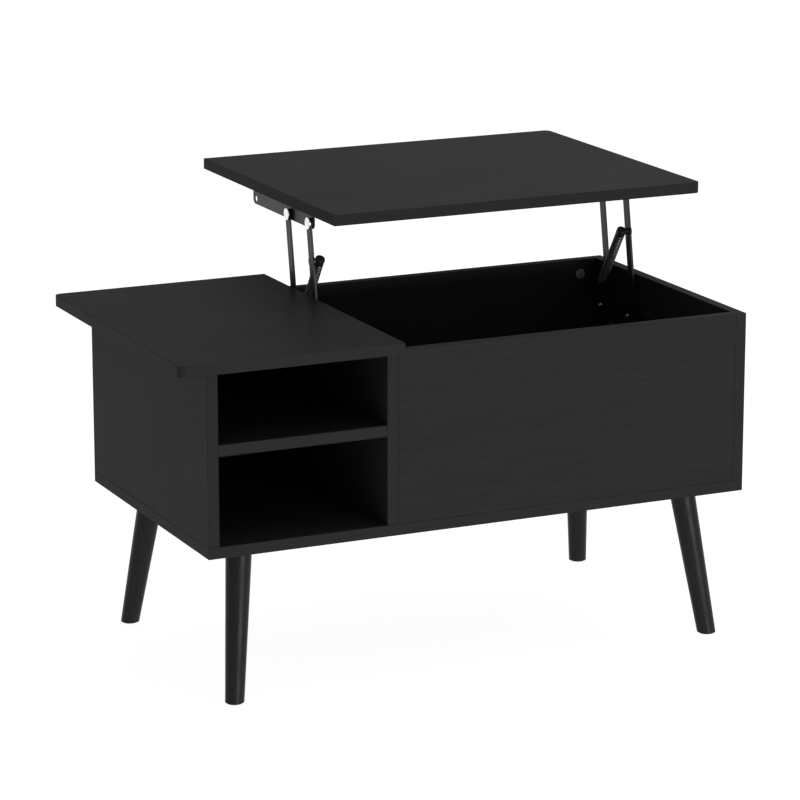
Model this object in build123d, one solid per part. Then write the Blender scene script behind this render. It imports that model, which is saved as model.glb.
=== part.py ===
from build123d import *
import math
import os

# Lift top coffee table, shown with its lid raised. Millimetres, +Z up, floor at z = 0.
# The open shelf bays face -Y and are at the -X end. The lid rises towards +Y.

# Boards of the carcass
board = 16.0
carcass_length = 816.0
carcass_depth = 434.0
carcass_height = 258.0
shelf_bay_length = 245.5
lower_bay_height = 124.0
board_edge_round = 0.6

# Table top
overhang_left = 47.0
overhang_right = 43.0
overhang_front_back = 24.0
top_corner_radius = 10.0
side_top_reveal = 1.0
top_gap = 1.5
lid_rest_gap = 0.5

# Legs
leg_height = 211.0
leg_inset_x = 67.0
leg_inset_y = 57.5
leg_splay_x = 24.6
leg_splay_y = 38.6
leg_top_diameter = 36.4
leg_foot_diameter = 26.2
glide_diameter = 22.0
glide_thickness = 1.5
glide_nail_diameter = 3.0
glide_nail_length = 14.0
glide_edge_round = 0.5
leg_plate_size = 64.0
leg_plate_thickness = 3.0
leg_plate_corner = 8.0
leg_screw_spacing = 46.0
hanger_bolt_diameter = 8.0
hanger_bolt_in_leg = 34.0
hanger_bolt_in_board = 13.0
hanger_bolt_end_round = 0.6

# Lift mechanism. Depths are measured from the box's end wall inwards.
arm_length = 213.0
arm_width = 14.0
arm_thickness = 3.0
arm_spacing = 75.0
arm_raised_angle = 80.2
arm_swing = 77.9
pivot_below_lid = 15.0
base_plate_gap_behind = 1.0
base_plate_thickness = 3.0
base_plate_front = 25.0
base_plate_rear = 64.0
base_plate_below = 18.0
base_plate_above = 40.0
base_plate_corner = 5.0
base_plate_lip = 14.0
base_plate_lip_inset = 8.0
upper_screws_above_pivot = 27.4
upper_screws_behind_pivot = (33.6, 117.0)
lower_screws_below_pivot = 9.0
front_screw_ahead_of_pivot = 15.0
rear_screw_behind_pivot = 42.0
lower_spacer = 3.0
lower_spacer_diameter = 16.0
upper_spacer = 1.5
upper_spacer_diameter = 15.0
pivot_diameter = 8.0
rivet_head_diameter = 18.0
rivet_head_height = 1.5
rivet_tail_diameter = 11.0
rivet_tail_height = 1.5
bracket_thickness = 1.5
bracket_flange = 26.0
bracket_below_pivot = 8.0
bracket_ahead = 11.0
bracket_length = 221.0
bracket_corner = 8.0
bracket_hole_diameter = 9.0
bracket_hole_from_end = 10.5
bracket_screw_from_end = 22.0
bracket_screw_from_web = 14.3

# Lift springs
spring_radius_on_front_arm = 159.0
spring_radius_on_rear_arm = 68.0
spring_depth = 19.5
spring_diameter = 14.0
spring_wire = 2.2
spring_cap = 2.5
spring_end_above_post = 5.0
spring_end_below_post = 6.0
spring_end_gap = 0.3
spring_end_round = 1.2
post_diameter = 6.0
post_head_diameter = 9.0
post_head_height = 1.5
post_collar_diameter = 10.0
post_collar_height = 2.5
hook_clearance = 0.15
hook_stem = 2.0
arm_boss_radius = 9.0

# Fasteners and their fits
clearance = 0.05
wood_screw_diameter = 3.8
wood_screw_length = 13.0
pan_head_diameter = 8.5
pan_head_height = 2.4
countersunk_head_diameter = 7.2
countersunk_head_height = 2.2
confirmat_head_diameter = 10.0
confirmat_head_height = 4.0
confirmat_diameter = 6.6
confirmat_length = 48.0
dowel_diameter = 8.0
dowel_length = 30.0
dowel_in_face = 10.0
panel_joint_inset = 69.5
shelf_joint_inset = 99.0
front_joint_inset = 126.0
back_joint_spacing = 245.0
cam_diameter = 15.0
cam_height = 12.4
cam_setback = 26.0
cam_from_edge = 22.0
cam_bore_diameter = 7.2
cam_bolt_diameter = 6.0
cam_bolt_in_face = 10.0
cam_bolt_end_gap = 1.0
cam_slot_width = 1.6
cam_slot_length = 9.0
cam_slot_depth = 2.0
rivet_round_share = 0.6
screw_round_share = 0.45

# Planes of the boards, from the carcass centre
left = -carcass_length / 2
right = carcass_length / 2
front = -carcass_depth / 2
rear = carcass_depth / 2
floor_of_box = leg_height + board
rim = leg_height + carcass_height
divider_left = left + board + shelf_bay_length
divider_right = divider_left + board
storage_right = right - board
shelf_bottom = floor_of_box + lower_bay_height

# Motion of the lid: the four pivots of each side make a parallelogram
arm_closed_angle = arm_raised_angle + arm_swing
raised = math.radians(arm_raised_angle)
closed = math.radians(arm_closed_angle)
lid_reach = arm_length * (math.cos(raised) - math.cos(closed))
lid_rise = arm_length * (math.sin(raised) - math.sin(closed))
lid_bottom = rim + lid_rest_gap + lid_rise
lower_pivot = (
    rear - board - base_plate_gap_behind - base_plate_rear - arm_spacing,
    rim + lid_rest_gap - pivot_below_lid - arm_length * math.sin(closed),
)
upper_pivot = (
    lower_pivot[0] + arm_length * math.cos(raised),
    lower_pivot[1] + arm_length * math.sin(raised),
)

# The part's origin is on the floor, under the middle of the part's box
origin_x = (overhang_right - overhang_left) / 2
origin_y = lid_reach / 2

# Depths of the mechanism's layers
arm_depth = base_plate_thickness + lower_spacer
arm_face = arm_depth + arm_thickness
bracket_depth = arm_face + upper_spacer
bracket_face = bracket_depth + bracket_thickness
rear_arm_foot = (lower_pivot[0] + arm_spacing, lower_pivot[1])


def on_arm(foot, radius, angle):
    """A point on an arm's middle line, in Y and Z."""
    return (foot[0] + radius * math.cos(angle), foot[1] + radius * math.sin(angle))


upper_post = on_arm(lower_pivot, spring_radius_on_front_arm, raised)
lower_post = on_arm(rear_arm_foot, spring_radius_on_rear_arm, raised)
upper_post_closed = on_arm(lower_pivot, spring_radius_on_front_arm, closed)
lower_post_closed = on_arm(rear_arm_foot, spring_radius_on_rear_arm, closed)
spring_length = math.dist(upper_post, lower_post)
upper_post_tip = spring_depth + spring_diameter / 2
hook_radius = post_diameter / 2 + hook_clearance + spring_wire / 2
hook_reach = hook_radius + hook_stem
lower_post_tip = spring_depth + spring_wire + post_head_height
through = 2 * upper_post_tip

walls = {"left": (divider_right, 1), "right": (storage_right, -1)}
corners = [(-1, -1), (1, -1), (-1, 1), (1, 1)]
corner_names = {
    (-1, -1): "front_left",
    (1, -1): "front_right",
    (-1, 1): "rear_left",
    (1, 1): "rear_right",
}


def save(shape, name):
    """Write one node, moved from the carcass centre to the part's origin."""
    export_step(Pos(-origin_x, -origin_y, 0) * shape, f"parts/{name}.step")


def save_group(shapes, name):
    """Write separate solids as one node."""
    moved = [Pos(-origin_x, -origin_y, 0) * shape for shape in shapes]
    solids = [solid for shape in moved for solid in shape.solids()]
    export_step(Compound(solids), f"parts/{name}.step")


def block(x0, x1, y0, y1, z0, z1):
    """A box between two corners."""
    middle = Pos((x0 + x1) / 2, (y0 + y1) / 2, (z0 + z1) / 2)
    return middle * Box(abs(x1 - x0), abs(y1 - y0), abs(z1 - z0))


def panel(x0, x1, y0, y1, z0, z1):
    """A board with lightly rounded edges."""
    solid = block(x0, x1, y0, y1, z0, z1)
    return fillet(solid.edges(), board_edge_round)


def rod(start, direction, diameter, length):
    """A cylinder from start along direction."""
    return Plane(origin=start, z_dir=direction) * Cylinder(
        diameter / 2, length, align=(Align.CENTER, Align.CENTER, Align.MIN)
    )


def taper(start, direction, bottom_diameter, top_diameter, length):
    """A cone from start along direction."""
    return Plane(origin=start, z_dir=direction) * Cone(
        bottom_diameter / 2, top_diameter / 2, length, align=(Align.CENTER, Align.CENTER, Align.MIN)
    )


def cut_all(solid, cutters):
    """Take every cutter out of the solid."""
    for cutter in cutters:
        solid = solid - cutter
    return solid


# Fasteners and their holes: a gap above 0 gives the hole


def confirmat(x, y, gap=0.0):
    """A confirmat screw up through the bottom board into a panel's lower edge."""
    start = (x, y, leg_height)
    head = taper(start, (0, 0, 1), confirmat_head_diameter + 2 * gap, confirmat_diameter + 2 * gap,
                 confirmat_head_height + gap)
    shank = rod(start, (0, 0, 1), confirmat_diameter + 2 * gap, confirmat_length + gap)
    return head + shank


def dowel(start, direction, gap=0.0):
    """A dowel whose first end stands dowel_in_face deep in a board's face."""
    away = Vector(*direction)
    first = Vector(*start) - away * (dowel_in_face + gap)
    return rod(first, away, dowel_diameter + 2 * gap, dowel_length + 2 * gap)


def screw_shank(point, direction, gap=0.0):
    """The shank of a wood screw: point is where its head meets the piece that it holds."""
    return rod(point, direction, wood_screw_diameter + 2 * gap, wood_screw_length + gap)


def pan_screw(point, direction):
    """A wood screw with a rounded head."""
    head = rod(Vector(*point) - direction * pan_head_height, direction, pan_head_diameter, pan_head_height)
    return screw_shank(point, direction) + domed(head, point, pan_head_height * screw_round_share)


def countersunk_screw(point, direction, gap=0.0):
    """A wood screw with a flush head."""
    head = taper(point, direction, countersunk_head_diameter + 2 * gap, wood_screw_diameter + 2 * gap,
                 countersunk_head_height + gap)
    return screw_shank(point, direction, gap) + head


def domed(solid, point, radius):
    """Round the circular edge that lies furthest from a point."""
    edges = solid.edges().filter_by(GeomType.CIRCLE)
    outer = edges.sort_by(lambda edge: (edge.center() - Vector(*point)).length)[-1]
    return fillet(outer, radius)


def cam_place(x, away_x, inner_y, into_y, z):
    """Where a cam lock sits: its centre on the board's inner face, and the two ways it works along."""
    return {"centre": (x, inner_y, z), "into": (0, into_y, 0), "bolt": (away_x, 0, 0)}


def cam_pocket(place):
    """The round pocket for a cam, and the bore for its bolt."""
    pocket = rod(place["centre"], place["into"], cam_diameter + 2 * clearance, cam_height + clearance)
    middle = Vector(*place["centre"]) + Vector(*place["into"]) * (board / 2)
    bore = rod(middle, place["bolt"], cam_bore_diameter, cam_setback)
    return pocket + bore


def cam_lock(place):
    """A cam with a cross slot in its face and a bore for the bolt's end."""
    into = Vector(*place["into"])
    start = Vector(*place["centre"])
    solid = rod(start, into, cam_diameter, cam_height)
    seat = Plane(origin=start, z_dir=into)
    for size in ((cam_slot_length, cam_slot_width), (cam_slot_width, cam_slot_length)):
        solid = solid - seat * Box(*size, 2 * cam_slot_depth)
    return solid - rod(start + into * (board / 2), place["bolt"], cam_bore_diameter, cam_diameter)


def cam_bolt(place):
    """The bolt from the neighbouring board's face into the cam."""
    away = Vector(*place["bolt"])
    middle = Vector(*place["centre"]) + Vector(*place["into"]) * (board / 2)
    length = cam_setback - cam_bolt_end_gap + cam_bolt_in_face
    return rod(middle + away * cam_bolt_end_gap, away, cam_bolt_diameter, length)


def cam_bolt_hole(place):
    """The blind hole in the neighbouring board's face."""
    away = Vector(*place["bolt"])
    face = Vector(*place["centre"]) + Vector(*place["into"]) * (board / 2) + away * cam_setback
    return rod(face, away, cam_bolt_diameter + 2 * clearance, cam_bolt_in_face + clearance)


cam_heights = (rim - cam_from_edge, floor_of_box + cam_from_edge)
back_left_cams = [cam_place(left + board + cam_setback, -1, rear - board, 1, z) for z in cam_heights]
back_right_cams = [cam_place(storage_right - cam_setback, 1, rear - board, 1, z) for z in cam_heights]
front_left_cams = [cam_place(divider_right + cam_setback, -1, front + board, -1, z) for z in cam_heights]
front_right_cams = [cam_place(storage_right - cam_setback, 1, front + board, -1, z) for z in cam_heights]
all_cams = back_left_cams + back_right_cams + front_left_cams + front_right_cams

joint_rows = (front + panel_joint_inset, rear - panel_joint_inset)
shelf_rows = (front + shelf_joint_inset, rear - shelf_joint_inset)
divider_middle = divider_left + board / 2
shelf_bay_middle = left + board + shelf_bay_length / 2
shelf_middle = shelf_bottom + board / 2
confirmats_left = [(left + board / 2, y) for y in joint_rows]
confirmats_right = [(right - board / 2, y) for y in joint_rows]
confirmats_divider = [(divider_middle, y) for y in joint_rows]
confirmats_front = [(divider_right + front_joint_inset, front + board / 2),
                    (storage_right - front_joint_inset, front + board / 2)]
confirmats_back = [(x, rear - board / 2) for x in (-back_joint_spacing, 0, back_joint_spacing)]
all_confirmats = confirmats_left + confirmats_right + confirmats_divider + confirmats_front + confirmats_back

side_top_dowels_left = [((left + board / 2, y, rim), (0, 0, -1)) for y in joint_rows]
side_top_dowels_divider = [((divider_middle, y, rim), (0, 0, -1)) for y in joint_rows]
side_top_dowels_back = [((shelf_bay_middle, rear - board / 2, rim), (0, 0, -1))]
side_top_joints = side_top_dowels_left + side_top_dowels_divider + side_top_dowels_back

shelf_dowels_left = [((left + board, y, shelf_middle), (1, 0, 0)) for y in shelf_rows]
shelf_dowels_divider = [((divider_left, y, shelf_middle), (-1, 0, 0)) for y in shelf_rows]
divider_dowels_back = [((divider_middle, rear - board, z), (0, -1, 0)) for z in cam_heights]
panel_joints = shelf_dowels_left + shelf_dowels_divider + divider_dowels_back


def dowel_holes(joints):
    return [dowel(start, direction, clearance) for start, direction in joints]


def confirmat_holes(places):
    return [confirmat(x, y, clearance) for x, y in places]


# Legs


def leg_top_centre(sx, sy):
    return Vector(sx * (right - leg_inset_x), sy * (rear - leg_inset_y), leg_height)


def leg_axis(sx, sy):
    """The leg's direction, up from its foot to the board."""
    return Vector(-sx * leg_splay_x, -sy * leg_splay_y, leg_height).normalized()


def foot_centre(sx, sy, z):
    up = leg_axis(sx, sy)
    return leg_top_centre(sx, sy) - up * ((leg_height - z) / up.Z)


def hanger_bolt(sx, sy, gap=0.0):
    """The bolt on the leg's axis, from inside the leg up into the bottom board."""
    up = leg_axis(sx, sy)
    start = foot_centre(sx, sy, leg_height - leg_plate_thickness) - up * (hanger_bolt_in_leg + gap)
    length = hanger_bolt_in_leg + leg_plate_thickness + hanger_bolt_in_board + 2 * gap
    bolt = rod(start, up, hanger_bolt_diameter + 2 * gap, length)
    if gap:
        return bolt
    return fillet(bolt.edges().filter_by(GeomType.CIRCLE), hanger_bolt_end_round)


def leg_screw_places(sx, sy):
    """Where the four screws of one leg plate go."""
    centre = leg_top_centre(sx, sy)
    half = leg_screw_spacing / 2
    return [(centre.X + i * half, centre.Y + j * half, leg_height - leg_plate_thickness) for i, j in corners]


def leg_screw(place, gap=0.0):
    return countersunk_screw(place, (0, 0, 1), gap)


def leg_plate(sx, sy):
    """A square steel plate between the leg and the bottom board."""
    centre = leg_top_centre(sx, sy)
    outline = Pos(centre.X, centre.Y) * RectangleRounded(leg_plate_size, leg_plate_size, leg_plate_corner)
    solid = Pos(0, 0, leg_height - leg_plate_thickness) * extrude(outline, leg_plate_thickness)
    cutters = [leg_screw(place, clearance) for place in leg_screw_places(sx, sy)]
    return cut_all(solid, cutters + [hanger_bolt(sx, sy, clearance)])


def glide(sx, sy, gap=0.0):
    """A foot glide with the nail that holds it in the leg."""
    foot = foot_centre(sx, sy, 0)
    nail_start = (foot.X, foot.Y, glide_thickness)
    nail = rod(nail_start, (0, 0, 1), glide_nail_diameter + 2 * gap, glide_nail_length + gap)
    if gap:
        return nail
    disc = rod((foot.X, foot.Y, 0), (0, 0, 1), glide_diameter, glide_thickness)
    lower_edge = disc.edges().filter_by(GeomType.CIRCLE).sort_by(Axis.Z)[0]
    return fillet(lower_edge, glide_edge_round) + nail


def leg(sx, sy):
    """A round leg that tapers to its foot and stands out along both axes, cut level at both ends."""
    up = leg_axis(sx, sy)
    spare = leg_top_diameter
    slant = leg_height / up.Z
    growth = (leg_top_diameter - leg_foot_diameter) / slant
    start = foot_centre(sx, sy, 0) - up * spare
    cone = taper(start, up, leg_foot_diameter - growth * spare, leg_top_diameter + growth * spare,
                 slant + 2 * spare)
    centre = leg_top_centre(sx, sy)
    level = block(centre.X - leg_height, centre.X + leg_height, centre.Y - leg_height, centre.Y + leg_height,
                  glide_thickness, leg_height - leg_plate_thickness)
    return cut_all(cone & level, [hanger_bolt(sx, sy, clearance), glide(sx, sy, clearance)])


# Boards


def bottom_board():
    solid = panel(left, right, front, rear, leg_height, floor_of_box)
    cutters = confirmat_holes(all_confirmats)
    for sx, sy in corners:
        cutters.append(hanger_bolt(sx, sy, clearance))
        cutters += [leg_screw(place, clearance) for place in leg_screw_places(sx, sy)]
    return cut_all(solid, cutters)


def left_side_panel():
    solid = panel(left, left + board, front, rear, floor_of_box, rim)
    cutters = confirmat_holes(confirmats_left) + [cam_bolt_hole(place) for place in back_left_cams]
    return cut_all(solid, cutters + dowel_holes(side_top_dowels_left + shelf_dowels_left))


def right_side_panel():
    solid = panel(storage_right, right, front, rear, floor_of_box, rim)
    cutters = confirmat_holes(confirmats_right)
    cutters += [cam_bolt_hole(place) for place in back_right_cams + front_right_cams]
    cutters += [base_screw_hole("right", place) for place in base_screw_places()]
    return cut_all(solid, cutters)


def divider_panel():
    solid = panel(divider_left, divider_right, front, rear - board, floor_of_box, rim)
    cutters = confirmat_holes(confirmats_divider) + [cam_bolt_hole(place) for place in front_left_cams]
    cutters += dowel_holes(side_top_dowels_divider + shelf_dowels_divider + divider_dowels_back)
    cutters += [base_screw_hole("left", place) for place in base_screw_places()]
    return cut_all(solid, cutters)


def front_panel():
    solid = panel(divider_right, storage_right, front, front + board, floor_of_box, rim)
    cutters = confirmat_holes(confirmats_front)
    return cut_all(solid, cutters + [cam_pocket(place) for place in front_left_cams + front_right_cams])


def back_panel():
    solid = panel(left + board, storage_right, rear - board, rear, floor_of_box, rim)
    cutters = confirmat_holes(confirmats_back) + dowel_holes(side_top_dowels_back + divider_dowels_back)
    return cut_all(solid, cutters + [cam_pocket(place) for place in back_left_cams + back_right_cams])


def shelf_board():
    solid = panel(left + board, divider_left, front, rear - board, shelf_bottom, shelf_bottom + board)
    return cut_all(solid, dowel_holes(shelf_dowels_left + shelf_dowels_divider))


def top_board(x0, x1, outer_side, y_shift, z0):
    """A board of the table top, with rounded corners at its outer end."""
    y0 = front - overhang_front_back + y_shift
    y1 = rear + overhang_front_back + y_shift
    solid = block(x0, x1, y0, y1, z0, z0 + board)
    uprights = solid.edges().filter_by(Axis.Z).sort_by(Axis.X)
    outer = uprights[:2] if outer_side < 0 else uprights[-2:]
    solid = fillet(outer, top_corner_radius)
    return fillet(solid.faces().filter_by(Axis.Z).edges(), board_edge_round)


def side_top():
    solid = top_board(left - overhang_left, divider_right - side_top_reveal, -1, 0, rim)
    return cut_all(solid, dowel_holes(side_top_joints))


def lid_top():
    lid_left = divider_right - side_top_reveal + top_gap
    solid = top_board(lid_left, right + overhang_right, 1, lid_reach, lid_bottom)
    return cut_all(solid, [bracket_screw_hole(side, y) for side in walls for y in bracket_screw_rows()])


# Lift mechanism


def at_depth(side, depth, y, z):
    """A point at a depth inwards from one end wall of the storage box."""
    wall, inward = walls[side]
    return Vector(wall + inward * depth, y, z)


def inward(side):
    return Vector(walls[side][1], 0, 0)


def slab(side, outline, depth, thickness):
    """A flat piece parallel to the wall: outline is drawn in Y and Z."""
    wall, way = walls[side]
    x0 = wall + way * depth
    return Pos(min(x0, x0 + way * thickness), 0, 0) * extrude(Plane.YZ * outline, thickness)


def through_hole(side, centre, diameter):
    """A hole through the whole mechanism, for a piece of this diameter."""
    return rod(at_depth(side, 0, *centre), inward(side), diameter + 2 * clearance, through)


def ring(side, centre, depth, thickness, outer_diameter):
    """A spacer washer round a pivot."""
    start = at_depth(side, depth, *centre)
    return rod(start, inward(side), outer_diameter, thickness) - through_hole(side, centre, pivot_diameter)


def rear_of(pivot):
    return (pivot[0] + arm_spacing, pivot[1])


def base_screw_places():
    """Two screws above the pivots and two beside them."""
    y, z = lower_pivot
    z_low = z - lower_screws_below_pivot
    upper = [(y + behind, z + upper_screws_above_pivot) for behind in upper_screws_behind_pivot]
    lower = [(y - front_screw_ahead_of_pivot, z_low), (y + arm_spacing + rear_screw_behind_pivot, z_low)]
    return upper + lower


def base_screw(side, place):
    return pan_screw(at_depth(side, base_plate_thickness, *place), -inward(side))


def base_screw_hole(side, place):
    return screw_shank(at_depth(side, base_plate_thickness, *place), -inward(side), clearance)


def base_plate(side):
    """The steel plate screwed to the wall, with a lip along its lower edge."""
    y, z = lower_pivot
    y0 = y - base_plate_front
    y1 = y + arm_spacing + base_plate_rear
    z0 = z - base_plate_below
    z1 = z + base_plate_above
    outline = make_face(Polyline((y0, z0), (y1, z0), (y1, z1), (y0, z1), close=True))
    outline = fillet(outline.vertices(), base_plate_corner)
    solid = slab(side, outline, 0, base_plate_thickness)
    x0 = at_depth(side, 0, 0, 0).X
    x1 = at_depth(side, base_plate_lip, 0, 0).X
    solid = solid + block(x0, x1, y0 + base_plate_lip_inset, y1 - base_plate_lip_inset,
                          z0, z0 + base_plate_thickness)
    cutters = [base_screw_hole(side, place) for place in base_screw_places()]
    cutters += [through_hole(side, pivot, pivot_diameter) for pivot in (lower_pivot, rear_of(lower_pivot))]
    return cut_all(solid, cutters)


def arm(side, foot, boss):
    """A flat arm with round ends, wider round its spring post."""
    top = (foot[0] + arm_length * math.cos(raised), foot[1] + arm_length * math.sin(raised))
    middle = ((foot[0] + top[0]) / 2, (foot[1] + top[1]) / 2)
    outline = Pos(*middle) * Rot(0, 0, arm_raised_angle) * SlotCenterToCenter(arm_length, arm_width)
    outline = outline + Pos(*boss) * Circle(arm_boss_radius)
    solid = slab(side, outline, arm_depth, arm_thickness)
    cutters = [through_hole(side, place, pivot_diameter) for place in (foot, top)]
    return cut_all(solid, cutters + [through_hole(side, boss, post_diameter)])


def lower_rivet(side, pivot):
    """Flush in the base plate, with its head on the arm's inner face."""
    face = at_depth(side, arm_face, *pivot)
    head = rod(face, inward(side), rivet_head_diameter, rivet_head_height)
    head = domed(head, face, rivet_head_height * rivet_round_share)
    return head + rod(at_depth(side, 0, *pivot), inward(side), pivot_diameter, arm_face)


def upper_rivet(side, pivot):
    """A head on the arm's outer face and a peened tail on the bracket's inner face."""
    outer = at_depth(side, arm_depth, *pivot)
    inner = at_depth(side, bracket_face, *pivot)
    head = rod(outer, -inward(side), rivet_head_diameter, rivet_head_height)
    head = domed(head, outer, rivet_head_height * rivet_round_share)
    tail = rod(inner, inward(side), rivet_tail_diameter, rivet_tail_height)
    tail = domed(tail, inner, rivet_tail_height * rivet_round_share)
    return head + rod(outer, inward(side), pivot_diameter, bracket_face - arm_depth) + tail


def bracket_span():
    start = upper_pivot[0] - bracket_ahead
    return start, start + bracket_length


def bracket_screw_rows():
    """Where the three screws of a bracket stand along Y."""
    start, end = bracket_span()
    return [start + bracket_screw_from_end, (start + end) / 2, end - bracket_screw_from_end]


def bracket_screw_place(side, y):
    return at_depth(side, bracket_face + bracket_screw_from_web, y, lid_bottom - bracket_thickness)


def bracket_screw(side, y):
    """A screw up through the bracket's flange into the lid."""
    return pan_screw(bracket_screw_place(side, y), Vector(0, 0, 1))


def bracket_screw_hole(side, y):
    return screw_shank(bracket_screw_place(side, y), Vector(0, 0, 1), clearance)


def lid_bracket(side):
    """An angle under the lid: its web hangs beside the arms, its flange is screwed to the lid."""
    y0, y1 = bracket_span()
    z0 = upper_pivot[1] - bracket_below_pivot
    web = make_face(Polyline((y0, z0), (y1, z0), (y1, lid_bottom), (y0, lid_bottom), close=True))
    web = fillet(web.vertices().sort_by(Axis.Y)[:2], bracket_corner)
    solid = slab(side, web, bracket_depth, bracket_thickness)
    x0 = at_depth(side, bracket_depth, 0, 0).X
    x1 = at_depth(side, bracket_face + bracket_flange, 0, 0).X
    solid = solid + block(x0, x1, y0, y1, lid_bottom - bracket_thickness, lid_bottom)
    hole_at = (y1 - bracket_hole_from_end, upper_pivot[1])
    cutters = [through_hole(side, pivot, pivot_diameter) for pivot in (upper_pivot, rear_of(upper_pivot))]
    cutters.append(rod(at_depth(side, 0, *hole_at), inward(side), bracket_hole_diameter, through))
    cutters += [bracket_screw_hole(side, y) for y in bracket_screw_rows()]
    return cut_all(solid, cutters)


# Springs


def spring_way():
    """The direction of a spring, from its lower post to its upper post."""
    return Vector(0, upper_post[0] - lower_post[0], upper_post[1] - lower_post[1]).normalized()


def post(side, centre, tip):
    """A spring post through an arm, with a collar on the arm's inner face."""
    shank = rod(at_depth(side, arm_depth, *centre), inward(side), post_diameter, tip - arm_depth)
    collar_start = at_depth(side, arm_face, *centre)
    return shank + rod(collar_start, inward(side), post_collar_diameter, post_collar_height)


def upper_spring_post(side):
    """The post that ends inside the spring's upper end piece."""
    return post(side, upper_post, upper_post_tip)


def lower_spring_post(side):
    """The post with a head that keeps the spring's hook on."""
    head_start = at_depth(side, lower_post_tip - post_head_height, *lower_post)
    head = rod(head_start, inward(side), post_head_diameter, post_head_height)
    head = domed(head, head_start, post_head_height * rivet_round_share)
    return post(side, lower_post, lower_post_tip) + head


def hook(side, centre, way):
    """A closed round hook and the short stem that joins it to the spring's body."""
    middle = at_depth(side, spring_depth, *centre)
    loop = Plane(origin=middle, z_dir=(1, 0, 0)) * Torus(hook_radius, spring_wire / 2)
    return loop + rod(middle + way * hook_radius, way, spring_wire, hook_stem)


def lift_spring(side):
    """The spring's close-wound body with its lower hook."""
    way = spring_way()
    start = at_depth(side, spring_depth, *lower_post) + way * hook_reach
    length = spring_length - hook_reach - spring_end_below_post - spring_end_gap
    body = rod(start, way, spring_diameter, length)
    bore = rod(start + way * spring_cap, way, spring_diameter - 2 * spring_wire, length)
    return (body - bore) + hook(side, lower_post, way)


def spring_end(side):
    """The end piece in the top of a spring, with an eye for the upper post."""
    way = spring_way()
    middle = at_depth(side, spring_depth, *upper_post)
    body = rod(middle - way * spring_end_below_post, way, spring_diameter,
               spring_end_below_post + spring_end_above_post)
    body = domed(body, middle - way * spring_end_below_post, spring_end_round)
    eye_diameter = post_diameter + 2 * hook_clearance
    eye_start = at_depth(side, spring_depth - spring_diameter, *upper_post)
    return body - rod(eye_start, inward(side), eye_diameter, 2 * spring_diameter)


def build():
    os.makedirs("parts", exist_ok=True)
    boards = [bottom_board, left_side_panel, right_side_panel, divider_panel, front_panel, back_panel,
              shelf_board, side_top, lid_top]
    for make in boards:
        save(make(), make.__name__)
    for sx, sy in corners:
        save(leg(sx, sy), corner_names[sx, sy] + "_leg")
    save_group([leg_plate(*c) for c in corners], "leg_plates")
    save_group([leg_screw(place) for c in corners for place in leg_screw_places(*c)], "leg_plate_screws")
    save_group([hanger_bolt(*c) for c in corners], "hanger_bolts")
    save_group([glide(*c) for c in corners], "foot_glides")
    save_group([confirmat(x, y) for x, y in all_confirmats], "confirmat_screws")
    save_group([dowel(*joint) for joint in side_top_joints], "side_top_dowels")
    save_group([dowel(*joint) for joint in panel_joints], "panel_dowels")
    save_group([cam_lock(place) for place in all_cams], "cam_locks")
    save_group([cam_bolt(place) for place in all_cams], "cam_bolts")
    lower_pivots = (lower_pivot, rear_of(lower_pivot))
    upper_pivots = (upper_pivot, rear_of(upper_pivot))
    for side in walls:
        save(base_plate(side), side + "_base_plate")
        save(arm(side, lower_pivot, upper_post), side + "_front_arm")
        save(arm(side, rear_arm_foot, lower_post), side + "_rear_arm")
        save(lid_bracket(side), side + "_lid_bracket")
        save(lift_spring(side), side + "_lift_spring")
    save_group([base_screw(s, place) for s in walls for place in base_screw_places()], "base_plate_screws")
    save_group([bracket_screw(s, y) for s in walls for y in bracket_screw_rows()], "lid_bracket_screws")
    save_group([lower_rivet(s, p) for s in walls for p in lower_pivots], "lower_pivot_rivets")
    save_group([upper_rivet(s, p) for s in walls for p in upper_pivots], "upper_pivot_rivets")
    save_group([ring(s, p, base_plate_thickness, lower_spacer, lower_spacer_diameter)
               for s in walls for p in lower_pivots], "lower_pivot_spacers")
    save_group([ring(s, p, arm_face, upper_spacer, upper_spacer_diameter)
               for s in walls for p in upper_pivots], "upper_pivot_washers")
    save_group([lower_spring_post(s) for s in walls], "lower_spring_posts")
    save_group([upper_spring_post(s) for s in walls], "upper_spring_posts")
    save_group([spring_end(s) for s in walls], "upper_spring_ends")


build()

raised_run = (upper_post[0] - lower_post[0], upper_post[1] - lower_post[1])
closed_run = (upper_post_closed[0] - lower_post_closed[0], upper_post_closed[1] - lower_post_closed[1])
way_raised = math.atan2(raised_run[1], raised_run[0])
way_closed = math.atan2(closed_run[1], closed_run[0])
spring_growth = math.dist(upper_post_closed, lower_post_closed) - spring_length
print("origin", origin_x, origin_y)
print("lid reach", lid_reach, "rise", lid_rise, "bottom", lid_bottom)
print("lower pivot", lower_pivot, "upper pivot", upper_pivot)
print("lower post", lower_post, "upper post", upper_post)
print("spring turns", math.degrees(way_closed - way_raised), "grows", spring_growth)
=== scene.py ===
"""Lift top coffee table: finishes, springs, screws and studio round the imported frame."""

from __future__ import annotations

import logging
import math
from dataclasses import dataclass, field
from enum import Enum
from typing import Any, Sequence

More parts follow.
